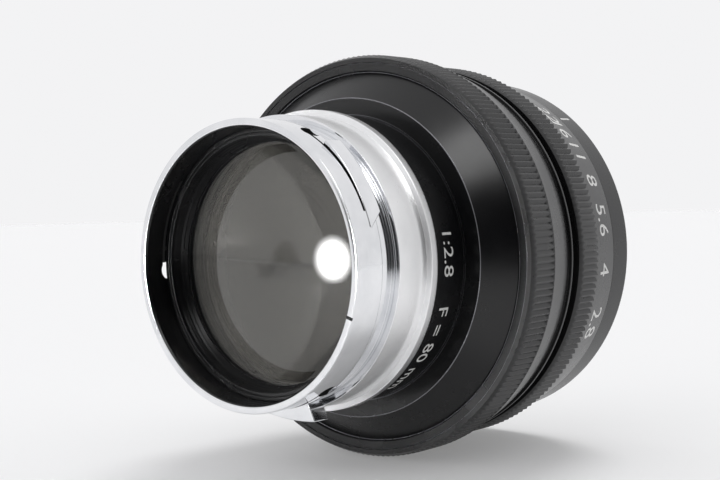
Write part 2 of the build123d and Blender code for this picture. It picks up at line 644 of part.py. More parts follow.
PIECES = {
    "bayonet_barrel": bayonet_barrel,
    "rear_cell": rear_cell,
    "rear_retaining_ring": rear_retaining_ring,
    "rear_element": rear_element,
    "rear_spacer": rear_spacer,
    "rear_pair_near": rear_pair_near,
    "rear_pair_far": rear_pair_far,
    "rear_baffle": rear_baffle,
    "neck_tube": neck_tube,
    "cone_shell": cone_shell,
    "grip_ring": grip_ring,
    "rear_collar": rear_collar,
    "main_sleeve": main_sleeve,
    "aperture_ring": aperture_ring,
    "drive_screw": drive_screw,
    "detent_ball": detent_ball,
    "detent_spring": detent_spring,
    "detent_screw": detent_screw,
    "iris_base": iris_base,
    "iris_cam_ring": iris_cam_ring,
    "iris_snap_ring": iris_snap_ring,
    "front_cell": front_cell,
    "front_pair_near": front_pair_near,
    "front_pair_far": front_pair_far,
    "pair_retaining_ring": pair_retaining_ring,
    "front_element": front_element,
    "front_retaining_ring": front_retaining_ring,
    "filter_ring": filter_ring,
}

for piece, make in PIECES.items():
    save(piece, make())
for number in range(BLADE_COUNT):
    save(f"iris_blade_{number + 1}", iris_blade(number))
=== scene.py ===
from math import atan2, cos, hypot, pi, radians, sin, sqrt

import bmesh
import bpy
from mathutils import Matrix, Vector


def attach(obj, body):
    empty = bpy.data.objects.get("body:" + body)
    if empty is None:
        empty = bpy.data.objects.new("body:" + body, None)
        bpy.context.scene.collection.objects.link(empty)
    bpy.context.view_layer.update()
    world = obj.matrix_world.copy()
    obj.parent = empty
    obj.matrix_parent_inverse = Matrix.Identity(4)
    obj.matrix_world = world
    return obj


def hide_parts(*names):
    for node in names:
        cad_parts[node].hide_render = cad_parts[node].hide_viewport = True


mm = 0.001
opticalAxis = (0, 1, 0)
axisPoint = (0, 0, 0)

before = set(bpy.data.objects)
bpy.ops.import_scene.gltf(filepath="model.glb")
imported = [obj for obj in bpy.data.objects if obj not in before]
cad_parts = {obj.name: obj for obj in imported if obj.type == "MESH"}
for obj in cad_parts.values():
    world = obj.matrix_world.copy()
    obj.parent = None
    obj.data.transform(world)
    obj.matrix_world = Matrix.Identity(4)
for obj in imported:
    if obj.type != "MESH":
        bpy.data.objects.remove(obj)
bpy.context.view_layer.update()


print("frame loaded:", len(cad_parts), "nodes")


# helpers shared by the pieces

def turnPoint(radius, turn, height):
    # a place on a circle about the optical axis, turn in degrees from +X about +Y
    return Vector((radius * mm * cos(radians(turn)), height * mm, -radius * mm * sin(radians(turn))))


def addProfile(bm, points, closed=True):
    corners = [bm.verts.new((radius * mm, height * mm, 0)) for radius, height in points]
    following = corners[1:] + corners[:1] if closed else corners[1:]
    for first, second in zip(corners, following):
        bm.edges.new((first, second))
    return corners


def softenCorners(bm, corners, offset):
    bmesh.ops.bevel(bm, geom=corners, offset=offset * mm, offset_type="OFFSET", segments=4,
                    profile=0.5, affect="VERTICES", material=-1)


def spinRound(bm, steps):
    bmesh.ops.spin(bm, geom=bm.verts[:] + bm.edges[:], cent=axisPoint, axis=opticalAxis,
                   angle=2 * pi, steps=steps, use_merge=True)
    bmesh.ops.remove_doubles(bm, verts=bm.verts[:], dist=1e-7)
    bmesh.ops.recalc_face_normals(bm, faces=bm.faces[:])


def finishPiece(bm, name, finishes, body, replaced=(), sharpTurn=32, evenNormals=True):
    mesh = bpy.data.meshes.new(name)
    bm.to_mesh(mesh)
    bm.free()
    for finish in finishes:
        mesh.materials.append(finish)
    mesh.shade_smooth()
    mesh.set_sharp_from_angle(angle=radians(sharpTurn))
    piece = bpy.data.objects.new(name, mesh)
    bpy.context.collection.objects.link(piece)
    if evenNormals:
        weighting = piece.modifiers.new("evenNormals", "WEIGHTED_NORMAL")
        weighting.keep_sharp = True
    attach(piece, body)
    if replaced:
        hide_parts(*replaced)
    return piece


def turnedPiece(name, settings, finishes, replaced, wearAndHighlight=None):
    bm = bmesh.new()
    corners = addProfile(bm, settings["profile"])
    sharp = settings.get("sharpCorners", ())
    softenCorners(bm, [corner for place, corner in enumerate(corners) if place not in sharp], settings["soften"])
    spinRound(bm, settings["steps"])
    if wearAndHighlight:
        for face in bm.faces:
            wearAndHighlight(face)
    return finishPiece(bm, name, finishes, "lens_body", replaced)


def wearAndHighlightEdges(corners, reach):
    # gives the second finish, a lighter worn metal that doubles as a painted highlight line, to the narrow faces
    # round the named corners
    def wearAndHighlight(face):
        middle = face.calc_center_median()
        for radius, height in corners:
            if hypot(hypot(middle.x, middle.z) - radius * mm, middle.y - height * mm) < reach * mm:
                face.material_index = 1
    return wearAndHighlight


# node helpers for the finishes

def newFinish(name):
    finish = bpy.data.materials.new(name)
    finish.use_nodes = True
    nodes = finish.node_tree.nodes
    return finish, nodes, finish.node_tree.links, nodes["Principled BSDF"]


def mathNode(nodes, links, operation, first, second=None):
    node = nodes.new("ShaderNodeMath")
    node.operation = operation
    for socket, value in zip(node.inputs, (first, second)):
        if isinstance(value, bpy.types.NodeSocket):
            links.new(value, socket)
        elif value is not None:
            socket.default_value = value
    return node.outputs[0]


def objectParts(nodes, links):
    place = nodes.new("ShaderNodeTexCoord")
    apart = nodes.new("ShaderNodeSeparateXYZ")
    links.new(place.outputs["Object"], apart.inputs[0])
    return place.outputs["Object"], apart.outputs


def noiseNode(nodes, links, coordinate, scale, detail=2.0, roughness=0.5):
    noise = nodes.new("ShaderNodeTexNoise")
    noise.inputs["Scale"].default_value = scale
    noise.inputs["Detail"].default_value = detail
    noise.inputs["Roughness"].default_value = roughness
    links.new(coordinate, noise.inputs["Vector"])
    return noise.outputs["Fac"]


def rangeNode(nodes, links, value, fromLow, fromHigh, toLow, toHigh):
    ranged = nodes.new("ShaderNodeMapRange")
    for socket, number in zip(ranged.inputs[1:5], (fromLow, fromHigh, toLow, toHigh)):
        socket.default_value = number
    links.new(value, ranged.inputs[0])
    return ranged.outputs[0]


def mixColour(nodes, links, share, first, second):
    mix = nodes.new("ShaderNodeMix")
    mix.data_type = "RGBA"
    links.new(share, mix.inputs[0])
    mix.inputs[6].default_value = (*first, 1)
    mix.inputs[7].default_value = (*second, 1)
    return mix.outputs[2]


def bumpNode(nodes, links, height, strength, distance, previous=None):
    bump = nodes.new("ShaderNodeBump")
    bump.inputs["Strength"].default_value = strength
    bump.inputs["Distance"].default_value = distance * mm
    links.new(height, bump.inputs["Height"])
    if previous is not None:
        links.new(previous, bump.inputs["Normal"])
    return bump.outputs[0]


acrossPerMm = 0.0075  # how slowly the tool marks change around the axis


def turningLines(nodes, links, parts, linesPerMm):
    # a value that changes along the axis and only slowly around it, as tool marks from a lathe do
    stretched = nodes.new("ShaderNodeCombineXYZ")
    for place, amount in ((0, acrossPerMm / mm), (1, linesPerMm / mm), (2, acrossPerMm / mm)):
        links.new(mathNode(nodes, links, "MULTIPLY", parts[place], amount), stretched.inputs[place])
    return noiseNode(nodes, links, stretched.outputs[0], 1.0, 3.0, 0.6)


def faceRings(nodes, links, parts, ringsPerMm):
    # the same marks on a faced surface, where they run as circles about the axis
    squares = [mathNode(nodes, links, "MULTIPLY", parts[place], parts[place]) for place in (0, 2)]
    reach = mathNode(nodes, links, "SQRT", mathNode(nodes, links, "ADD", *squares))
    stretched = nodes.new("ShaderNodeCombineXYZ")
    links.new(mathNode(nodes, links, "MULTIPLY", reach, ringsPerMm / mm), stretched.inputs[0])
    return noiseNode(nodes, links, stretched.outputs[0], 1.0, 3.0, 0.6)


# the finishes, one dictionary of looks for each kind

chromeLooks = {
    "polishedChrome": {"colour": (0.88, 0.885, 0.90), "dull": (0.76, 0.77, 0.79), "roughness": (0.05, 0.13),
                       "linesPerMm": 6, "lines": 0.20, "grainScale": 2500, "grain": 0.02},
    "satinChrome": {"colour": (0.96, 0.96, 0.965), "dull": (0.89, 0.895, 0.90), "roughness": (0.27, 0.37),
                    "linesPerMm": 11, "lines": 0.25, "grainScale": 4200, "grain": 0.10},
}


def makeChrome(name):
    look = chromeLooks[name]
    finish, nodes, links, shader = newFinish(name)
    spot, parts = objectParts(nodes, links)
    shader.inputs["Metallic"].default_value = 1.0
    smudge = noiseNode(nodes, links, spot, 120, 4, 0.6)
    grain = noiseNode(nodes, links, spot, look["grainScale"], 2, 0.5)
    lines = turningLines(nodes, links, parts, look["linesPerMm"])
    haze = rangeNode(nodes, links, smudge, 0.35, 0.7, 0, 1)
    links.new(mixColour(nodes, links, haze, look["colour"], look["dull"]), shader.inputs["Base Color"])
    mixed = mathNode(nodes, links, "ADD", mathNode(nodes, links, "MULTIPLY", smudge, 0.6),
                     mathNode(nodes, links, "MULTIPLY", lines, 0.4))
    low, high = look["roughness"]
    links.new(rangeNode(nodes, links, mixed, 0.35, 0.65, low, high), shader.inputs["Roughness"])
    first = bumpNode(nodes, links, grain, look["grain"], 0.01)
    links.new(bumpNode(nodes, links, lines, look["lines"], 0.004, first), shader.inputs["Normal"])
    return finish


blackLooks = {
    "blackPaint": {"colour": (0.0030, 0.0031, 0.0038), "worn": (0.0055, 0.0055, 0.006), "roughness": (0.22, 0.30),
                   "grainScale": 5200, "grain": 0.10, "linesPerMm": 7, "lines": 0.08},
    "blackAnodised": {"colour": (0.009, 0.009, 0.0095), "worn": (0.015, 0.015, 0.015), "roughness": (0.24, 0.33),
                      "grainScale": 6500, "grain": 0.16, "linesPerMm": 10, "lines": 0.18},
    "mattBlack": {"colour": (0.004, 0.004, 0.0042), "worn": (0.008, 0.008, 0.008), "roughness": (0.42, 0.58),
                  "grainScale": 5000, "grain": 0.06, "linesPerMm": 4, "lines": 0.06},
}


def makeBlack(name):
    look = blackLooks[name]
    finish, nodes, links, shader = newFinish(name)
    spot, parts = objectParts(nodes, links)
    cloud = noiseNode(nodes, links, spot, 90, 4, 0.6)
    grain = noiseNode(nodes, links, spot, look["grainScale"], 1, 0.5)
    lines = turningLines(nodes, links, parts, look["linesPerMm"])
    share = rangeNode(nodes, links, cloud, 0.45, 0.75, 0, 1)
    links.new(mixColour(nodes, links, share, look["colour"], look["worn"]), shader.inputs["Base Color"])
    low, high = look["roughness"]
    links.new(rangeNode(nodes, links, cloud, 0.3, 0.7, low, high), shader.inputs["Roughness"])
    first = bumpNode(nodes, links, grain, look["grain"], 0.01)
    links.new(bumpNode(nodes, links, lines, look["lines"], 0.004, first), shader.inputs["Normal"])
    return finish


def makeWhiteFill():
    finish, nodes, links, shader = newFinish("whiteFill")
    spot, _ = objectParts(nodes, links)
    speck = noiseNode(nodes, links, spot, 4200, 3, 0.6)
    share = rangeNode(nodes, links, speck, 0.4, 0.75, 0, 1)
    links.new(mixColour(nodes, links, share, (0.82, 0.82, 0.80), (0.50, 0.50, 0.49)), shader.inputs["Base Color"])
    shader.inputs["Roughness"].default_value = 0.5
    links.new(bumpNode(nodes, links, speck, 0.2, 0.01), shader.inputs["Normal"])
    return finish


glassLook = {"tint": (0.855, 0.84, 0.80), "ior": 1.55, "reflection": 0.11}


def makeCoatedGlass():
    finish, nodes, links, shader = newFinish("coatedGlass")
    spot, _ = objectParts(nodes, links)
    shader.inputs["Transmission Weight"].default_value = 1.0
    shader.inputs["IOR"].default_value = glassLook["ior"]
    shader.inputs["Specular IOR Level"].default_value = glassLook["reflection"]
    shader.inputs["Base Color"].default_value = (*glassLook["tint"], 1)
    dust = noiseNode(nodes, links, spot, 260, 4, 0.7)
    links.new(rangeNode(nodes, links, dust, 0.55, 0.85, 0.0, 0.02), shader.inputs["Roughness"])
    return finish


metalLooks = {
    # lighter worn metal for the cone's edges, also a painted highlight line where those edges catch the light
    "wornEdgeHighlight": {"colour": (0.36, 0.36, 0.38), "dull": (0.10, 0.10, 0.11), "roughness": (0.22, 0.40)},
    "brass": {"colour": (0.72, 0.52, 0.22), "dull": (0.45, 0.31, 0.14), "roughness": (0.22, 0.38)},
    "steel": {"colour": (0.60, 0.60, 0.61), "dull": (0.40, 0.40, 0.42), "roughness": (0.18, 0.32)},
    "bluedSteel": {"colour": (0.050, 0.052, 0.062), "dull": (0.024, 0.025, 0.030), "roughness": (0.28, 0.42)},
}


def makeMetal(name):
    look = metalLooks[name]
    finish, nodes, links, shader = newFinish(name)
    spot, parts = objectParts(nodes, links)
    shader.inputs["Metallic"].default_value = 1.0
    cloud = noiseNode(nodes, links, spot, 300, 4, 0.6)
    links.new(mixColour(nodes, links, cloud, look["colour"], look["dull"]), shader.inputs["Base Color"])
    low, high = look["roughness"]
    links.new(rangeNode(nodes, links, cloud, 0.3, 0.7, low, high), shader.inputs["Roughness"])
    links.new(bumpNode(nodes, links, faceRings(nodes, links, parts, 8), 0.2, 0.004), shader.inputs["Normal"])
    return finish


polishedChrome = makeChrome("polishedChrome")
satinChrome = makeChrome("satinChrome")
blackPaint = makeBlack("blackPaint")
blackAnodised = makeBlack("blackAnodised")
mattBlack = makeBlack("mattBlack")
whiteFill = makeWhiteFill()
coatedGlass = makeCoatedGlass()
wornEdgeHighlight = makeMetal("wornEdgeHighlight")
brass = makeMetal("brass")
steel = makeMetal("steel")
bluedSteel = makeMetal("bluedSteel")
print("finishes made")


# chrome bayonet barrel: sizes are a radius and a height in mm, turns in degrees

barrel = {
    "profile": [(22.6, -16.45), (22.95, -16.8), (24.0, -16.8), (24.0, -10.5), (23.5, -10.0), (23.5, -8.1),
                (23.2, -7.9), (23.2, -7.2), (24.8, -7.2), (24.8, 0.0), (25.8, 0.0), (25.8, 1.7), (24.0, 1.7),
                (24.0, 8.0), (22.6, 8.0)],
    "soften": 0.12, "steps": 288,
    "lugs": 3, "holeTurn": -63.0, "holeRadius": 1.6, "holeHeight": -11.6, "cutterMiddle": 23.3, "cutterDepth": 6,
    "slitWidth": 0.5, "slitTurn": 42.0, "slitTop": -12.4, "slitFrom": 21.0, "slitTo": 25.0, "slitSteps": 42,
    "nickTurn": 19.0, "nickRadius": 0.26, "nickHeight": -16.8, "paintRadius": 22.8, "satinFrom": -7.1,
    "longRun": 1.2, "runCuts": 6,
}
springLeaf = {
    "startTurn": -53.5, "turn": 39.0, "front": -12.4, "back": -8.9, "root": 23.4, "radius": 24.12,
    "kicks": (0.7, 3.2, 0.7), "kickTurn": 26.0, "kickPower": 1.3,  # how far each leaf stands out, and over what turn
    "pointSlant": 38.7, "steps": 36, "soften": 0.14, "fixedTo": 23.9, "crispTurn": 40,
}


def addHoleCutter(bm, radius, turn, height):
    made = bmesh.ops.create_cone(bm, cap_ends=True, segments=32, radius1=radius * mm, radius2=radius * mm,
                                 depth=barrel["cutterDepth"] * mm)
    outward = turnPoint(1, turn, 0).normalized()
    standing = Vector((0, 0, 1)).rotation_difference(outward).to_matrix().to_4x4()
    place = Matrix.Translation(turnPoint(barrel["cutterMiddle"], turn, height))
    bmesh.ops.transform(bm, matrix=place @ standing, verts=made["verts"])


def addSlitCutter(bm, startTurn):
    near, far, top = barrel["slitFrom"], barrel["slitTo"], barrel["slitTop"]
    bottom = top - barrel["slitWidth"]
    face = bm.faces.new(addProfile(bm, [(near, bottom), (far, bottom), (far, top), (near, top)]))
    bmesh.ops.rotate(bm, verts=face.verts[:], cent=axisPoint, matrix=Matrix.Rotation(radians(startTurn), 3, "Y"))
    bmesh.ops.spin(bm, geom=[face], cent=axisPoint, axis=opticalAxis, angle=radians(barrel["slitTurn"]),
                   steps=barrel["slitSteps"])


def cutAway(piece, cutter, finish):
    # the cut is applied at once and the cutter is thrown away
    cutter.data.materials.append(finish)
    cut = piece.modifiers.new("cut", "BOOLEAN")
    cut.object = cutter
    cut.solver = "EXACT"
    cut.operation = "DIFFERENCE"
    cut.material_mode = "TRANSFER"
    bpy.context.view_layer.update()
    shaped = bpy.data.meshes.new_from_object(piece.evaluated_get(bpy.context.evaluated_depsgraph_get()))
    piece.modifiers.remove(cut)
    old = piece.data
    piece.data = shaped
    bpy.data.meshes.remove(old)
    bpy.data.objects.remove(cutter)


def looseObject(bm, name):
    bmesh.ops.recalc_face_normals(bm, faces=bm.faces[:])
    mesh = bpy.data.meshes.new(name)
    bm.to_mesh(mesh)
    bm.free()
    made = bpy.data.objects.new(name, mesh)
    bpy.context.collection.objects.link(made)
    return made


def leafHeight(turned, kick):
    left = max(0.0, 1 - turned / springLeaf["kickTurn"])
    return springLeaf["radius"] + kick * left ** springLeaf["kickPower"]


def raiseLeaf(leaf, kick):
    # only the outer face stands out, the root stays in the barrel wall
    for vert in leaf.verts:
        reach = hypot(vert.co.x, vert.co.z)
        if reach > springLeaf["fixedTo"] * mm:
            grown = leafHeight(-atan2(vert.co.z, vert.co.x) * 180 / pi, kick) * mm / reach
            vert.co.x *= grown
            vert.co.z *= grown


def slantLeafEnd(leaf):
    half = (springLeaf["back"] - springLeaf["front"]) / 2
    slant = radians(springLeaf["pointSlant"])
    endTurn = springLeaf["turn"] - sin(slant) * half / springLeaf["radius"] * 180 / pi
    along = Vector((-sin(radians(endTurn)), 0, -cos(radians(endTurn))))
    bmesh.ops.bisect_plane(leaf, geom=leaf.verts[:] + leaf.edges[:] + leaf.faces[:],
                           plane_co=turnPoint(springLeaf["radius"], endTurn, springLeaf["front"] + half),
                           plane_no=along * cos(slant) + Vector((0, sin(slant), 0)), clear_outer=True)
    bmesh.ops.holes_fill(leaf, edges=[edge for edge in leaf.edges if edge.is_boundary])
    bmesh.ops.recalc_face_normals(leaf, faces=leaf.faces[:])


def addSpringLeaf(bm, turn, kick):
    leaf = bmesh.new()
    near, far, front, back = [springLeaf[key] for key in ("root", "radius", "front", "back")]
    face = leaf.faces.new(addProfile(leaf, [(near, front), (far, front), (far, back), (near, back)]))
    bmesh.ops.spin(leaf, geom=[face], cent=axisPoint, axis=opticalAxis, angle=radians(springLeaf["turn"]),
                   steps=springLeaf["steps"])
    raiseLeaf(leaf, kick)
    slantLeafEnd(leaf)
    crisp = [edge for edge in leaf.edges
             if edge.is_manifold and edge.calc_face_angle(0) > radians(springLeaf["crispTurn"])]
    bmesh.ops.bevel(leaf, geom=crisp, offset=springLeaf["soften"] * mm, offset_type="OFFSET", segments=3,
                    profile=0.5, affect="EDGES", material=-1, clamp_overlap=True)
    bmesh.ops.rotate(leaf, verts=leaf.verts[:], cent=axisPoint,
                     matrix=Matrix.Rotation(radians(springLeaf["startTurn"] + turn), 3, "Y"))
    scratch = bpy.data.meshes.new("leafShape")
    leaf.to_mesh(scratch)
    leaf.free()
    bm.from_mesh(scratch)
    bpy.data.meshes.remove(scratch)


def makeBarrel():
    turns = [lug * 360 / barrel["lugs"] for lug in range(barrel["lugs"])]
    bm = bmesh.new()
    softenCorners(bm, addProfile(bm, barrel["profile"]), barrel["soften"])
    longRuns = [edge for edge in bm.edges if edge.calc_length() > barrel["longRun"] * mm]
    bmesh.ops.subdivide_edges(bm, edges=longRuns, cuts=barrel["runCuts"])
    spinRound(bm, barrel["steps"])
    for face in bm.faces:
        middle = face.calc_center_median()
        if hypot(middle.x, middle.z) < barrel["paintRadius"] * mm:
            face.material_index = 1
        elif middle.y > barrel["satinFrom"] * mm:
            face.material_index = 2
    body = looseObject(bm, "chromeBarrel")
    for finish in (polishedChrome, blackPaint, satinChrome):
        body.data.materials.append(finish)
    # the cut walls of the holes, the nick and the slits take the matt black, painted shade inside them
    cutters = bmesh.new()
    for turn in turns:
        addHoleCutter(cutters, barrel["holeRadius"], turn + barrel["holeTurn"], barrel["holeHeight"])
    addHoleCutter(cutters, barrel["nickRadius"], barrel["nickTurn"], barrel["nickHeight"])
    cutAway(body, looseObject(cutters, "holeCutter"), mattBlack)
    cutters = bmesh.new()
    for turn in turns:
        addSlitCutter(cutters, turn + barrel["holeTurn"])
    cutAway(body, looseObject(cutters, "slitCutter"), mattBlack)
    bm = bmesh.new()
    bm.from_mesh(body.data)
    for turn, kick in zip(turns, springLeaf["kicks"]):
        addSpringLeaf(bm, turn, kick)
    finishes = list(body.data.materials)
    bpy.data.objects.remove(body)
    return finishPiece(bm, "chromeBarrel", finishes, "lens_body", ["bayonet_barrel"])


makeBarrel()
print("chrome barrel made")


# rear cell, its rings and glass

rearCell = {
    "profile": [(21.85, -12.2), (22.57, -12.2), (22.57, 3.0), (20.25, 3.0), (20.25, 2.1), (20.93, 2.1),
                (20.93, -8.9), (21.85, -8.9)],
    "soften": 0.06, "steps": 240,
}
rearRing = {
    "profile": [(21.22, -12.2), (21.82, -12.2), (21.82, -8.9), (20.3, -8.9), (20.3, -9.1), (20.6, -9.7),
                (20.6, -9.85), (20.85, -10.3), (20.85, -10.45), (21.0, -10.9), (21.0, -11.05), (21.16, -11.5)],
    "soften": 0.04, "steps": 240,
}
rearSpacer = {"profile": [(20.3, -5.9), (20.9, -5.9), (20.9, -3.9), (20.3, -3.9)], "soften": 0.04, "steps": 200}
rearBaffle = {
    "profile": [(19.4, 3.0), (22.57, 3.0), (22.57, 8.0), (21.57, 8.0), (19.4, 4.0)], "soften": 0.06, "steps": 200,
}

turnedPiece("rearCell", rearCell, [blackPaint], ["rear_cell"])
turnedPiece("rearRing", rearRing, [blackPaint], ["rear_retaining_ring"])
turnedPiece("rearSpacer", rearSpacer, [mattBlack], ["rear_spacer"])
turnedPiece("rearBaffle", rearBaffle, [mattBlack], ["rear_baffle"])


def arcRise(curve, radius):
    size = abs(curve)
    return (size - sqrt(size * size - radius * radius)) * (1 if curve > 0 else -1)


def glassProfile(settings):
    # from the middle of one surface out over the edge to the middle of the other
    clear, edge = settings["clear"], settings["edge"]
    steps = settings["curveSteps"]
    points = []
    for place, (height, curve) in enumerate(settings["surfaces"]):
        top = height + arcRise(curve, clear)
        run = [(clear * step / steps, top - arcRise(curve, clear * step / steps)) for step in range(steps + 1)]
        run.append((edge, height))
        points += run if place == 0 else run[::-1]
    return points


def makeGlass(name, settings, replaced):
    bm = bmesh.new()
    addProfile(bm, glassProfile(settings), closed=False)
    spinRound(bm, settings["steps"])
    for face in bm.faces:
        middle = face.calc_center_median()
        if hypot(middle.x, middle.z) > settings["clear"] * mm:
            face.material_index = 1  # the edge is ground and blacked
    return finishPiece(bm, name, [coatedGlass, mattBlack], "lens_body", replaced, evenNormals=False)


# each surface is the height of its edge and its curve, a radius that is below zero where it bulges backwards
rearGlass = {"edge": 20.9, "clear": 20.2, "surfaces": [(-8.9, -72.1), (-5.9, 119.97)], "curveSteps": 24, "steps": 160}
rearPair = {"edge": 20.9, "clear": 20.2, "surfaces": [(-3.9, 90.08), (2.1, 80.05)], "curveSteps": 24, "steps": 160}
makeGlass("rearGlass", rearGlass, ["rear_element"])
makeGlass("rearPair", rearPair, ["rear_pair_near", "rear_pair_far"])
print("rear group made")


# neck, cone and shoulder

neck = {
    "profile": [(24.03, 1.7), (25.1, 1.7), (25.1, 10.3), (24.6, 10.3), (24.6, 14.5), (22.6, 14.5), (22.6, 8.0),
                (24.03, 8.0)],
    "soften": 0.1, "steps": 240,
}
cone = {
    "profile": [(24.63, 10.42), (25.22, 10.3), (28.2, 10.3), (32.9, 15.0), (33.15, 14.5), (34.6, 14.5), (34.6, 16.2),
                (33.0, 16.2), (33.0, 29.7), (31.5, 29.7), (31.5, 19.0), (28.2, 16.0), (24.63, 16.0)],
    "soften": 0.09, "steps": 288,
    "wornAndHighlightCorners": [(25.22, 10.3), (28.2, 10.3), (32.9, 15.0), (34.6, 14.5)], "wearAndHighlightReach": 0.08,
}
turnedPiece("neckTube", neck, [blackPaint], ["neck_tube"])
# the narrow faces at the cone's corners take the lighter worn metal, partly a painted highlight line
turnedPiece("coneShell", cone, [blackPaint, wornEdgeHighlight], ["cone_shell"],
            wearAndHighlightEdges(cone["wornAndHighlightCorners"], cone["wearAndHighlightReach"]))
print("neck and cone made")


# knurled rings: one tooth is drawn, extruded through the rows and then copied round
# each row is crest radius, groove radius, height

gripRing = {
    "teeth": 200, "crestShare": 0.08,
    "rows": [(34.63, 34.63, 14.35), (35.45, 35.45, 14.35), (35.7, 35.68, 14.85), (36.0, 35.68, 15.5),
             (36.0, 35.68, 20.6), (36.0, 35.96, 21.0), (35.93, 35.93, 21.25), (34.78, 34.78, 26.12),
             (34.70, 34.70, 26.2), (33.03, 33.03, 26.2), (33.03, 33.03, 16.23), (34.63, 34.63, 16.23)],
}
apertureRing = {
    "teeth": 188, "crestShare": 0.08,
    "rows": [(31.52, 31.52, 31.9), (34.3, 34.3, 31.9), (34.55, 34.52, 32.35), (34.85, 34.52, 32.95),
             (34.85, 34.52, 37.7), (34.6, 34.4, 38.02), (34.1, 34.1, 38.2), (32.72, 32.72, 47.08),
             (32.52, 32.52, 47.3), (31.52, 31.52, 47.3)],
}


def knurledPiece(name, settings, finish, replaced, body):
    bm = bmesh.new()
    step = 360 / settings["teeth"]
    edgeShare = (1 - settings["crestShare"]) / 2
    turns = [0, edgeShare * step, (1 - edgeShare) * step, step]
    onCrest = (False, True, True, False)

    def setRow(verts, row):
        crest, groove, height = row
        for vert, turn, high in zip(verts, turns, onCrest):
            vert.co = turnPoint(crest if high else groove, turn, height)

    rowVerts = [bm.verts.new() for _ in turns]
    chain = [bm.edges.new(pair) for pair in zip(rowVerts, rowVerts[1:])]
    setRow(rowVerts, settings["rows"][0])
    for row in settings["rows"][1:] + settings["rows"][:1]:
        made = bmesh.ops.extrude_edge_only(bm, edges=chain)["geom"]
        chain = [item for item in made if isinstance(item, bmesh.types.BMEdge)]
        fresh = [item for item in made if isinstance(item, bmesh.types.BMVert)]
        fresh.sort(key=lambda vert: -atan2(vert.co.z, vert.co.x))
        setRow(fresh, row)
    bmesh.ops.spin(bm, geom=bm.verts[:] + bm.edges[:] + bm.faces[:], cent=axisPoint, axis=opticalAxis,
                   angle=radians(360 - step), steps=settings["teeth"] - 1, use_duplicate=True)
    bmesh.ops.remove_doubles(bm, verts=bm.verts[:], dist=2e-6)
    bmesh.ops.recalc_face_normals(bm, faces=bm.faces[:])
    return finishPiece(bm, name, [finish], body, replaced, sharpTurn=24)


knurledPiece("gripRing", gripRing, blackAnodised, ["grip_ring"], "lens_body")
knurledPiece("apertureRing", apertureRing, blackAnodised, ["aperture_ring"], "aperture")
print("knurled rings made")


# rear collar, sleeve and filter ring

collar = {
    "profile": [(33.03, 26.2), (34.65, 26.2), (33.85, 29.2), (34.4, 29.2), (34.4, 29.7), (33.03, 29.7)],
    "soften": 0.07, "steps": 240,
}
sleeve = {
    "profile": [(27.0, 19.2), (31.47, 19.2), (31.47, 29.7), (32.4, 29.7), (32.4, 31.75), (31.47, 31.75),
                (31.47, 47.45), (29.6, 47.45), (29.6, 30.9), (27.0, 30.9)],
    "soften": 0.05, "steps": 200,
}
filterRing = {
    "front": 52.7, "back": 47.45, "outer": 32.54, "thread": 31.0, "step": 49.0, "spigotY": 46.0, "spigot": 29.57,
    "bore": 28.5, "soften": 0.1, "steps": 240, "threadPitch": 0.75, "threadDepth": 0.35, "threadStart": 0.25,
    "mouth": 0.2,
}


def filterProfile(settings):
    points = [(settings["bore"], settings["spigotY"]), (settings["spigot"], settings["spigotY"]),
              (settings["spigot"], settings["back"]), (settings["outer"], settings["back"]),
              (settings["outer"], settings["front"]), (settings["thread"] + settings["mouth"], settings["front"])]
    height = settings["front"] - settings["threadStart"]
    while height > settings["step"] + settings["threadPitch"]:
        points.append((settings["thread"], height))
        points.append((settings["thread"] + settings["threadDepth"], height - settings["threadPitch"] / 2))
        height -= settings["threadPitch"]
    points += [(settings["thread"], settings["step"]), (settings["bore"], settings["step"])]
    return points


filterRing["profile"] = filterProfile(filterRing)
filterRing["sharpCorners"] = tuple(range(6, len(filterRing["profile"]) - 2))  # the thread stays crisp
turnedPiece("rearCollar", collar, [blackAnodised], ["rear_collar"])
turnedPiece("mainSleeve", sleeve, [mattBlack], ["main_sleeve"])
turnedPiece("filterRing", filterRing, [blackPaint], ["filter_ring"])
print("collar, sleeve and filter ring made")


# front group

frontCell = {
    "profile": [(19.0, 36.0), (26.5, 36.0), (26.5, 46.1), (28.47, 46.1), (28.47, 48.9), (25.0, 48.9),
                (25.0, 44.6), (24.03, 44.6), (24.03, 43.0), (22.9, 43.0), (20.55, 42.8), (20.55, 41.2),
                (20.03, 41.2), (20.03, 36.6), (19.0, 36.6)],
    "soften": 0.06, "steps": 240,
}
frontRing = {
    "profile": [(23.0, 44.6), (24.97, 44.6), (24.97, 48.0), (24.0, 48.0), (23.75, 47.2), (23.6, 47.2), (23.4, 46.4),
                (23.25, 46.4), (23.1, 45.6), (23.0, 45.6)],
    "soften": 0.04, "steps": 240,
}
frontGlass = {"edge": 24.0, "clear": 22.9, "surfaces": [(43.0, 90.0), (44.6, 69.6)], "curveSteps": 24, "steps": 160}
frontPair = {"edge": 20.0, "clear": 19.2, "surfaces": [(36.6, 60.0), (41.2, 50.0)], "curveSteps": 24, "steps": 160}
turnedPiece("frontCell", frontCell, [blackPaint], ["front_cell"])
turnedPiece("frontRing", frontRing, [blackPaint], ["front_retaining_ring"])
makeGlass("frontGlass", frontGlass, ["front_element"])
makeGlass("frontPair", frontPair, ["front_pair_near", "front_pair_far"])
print("front group made")


# numerals, a filled engraving wrapped on the rings

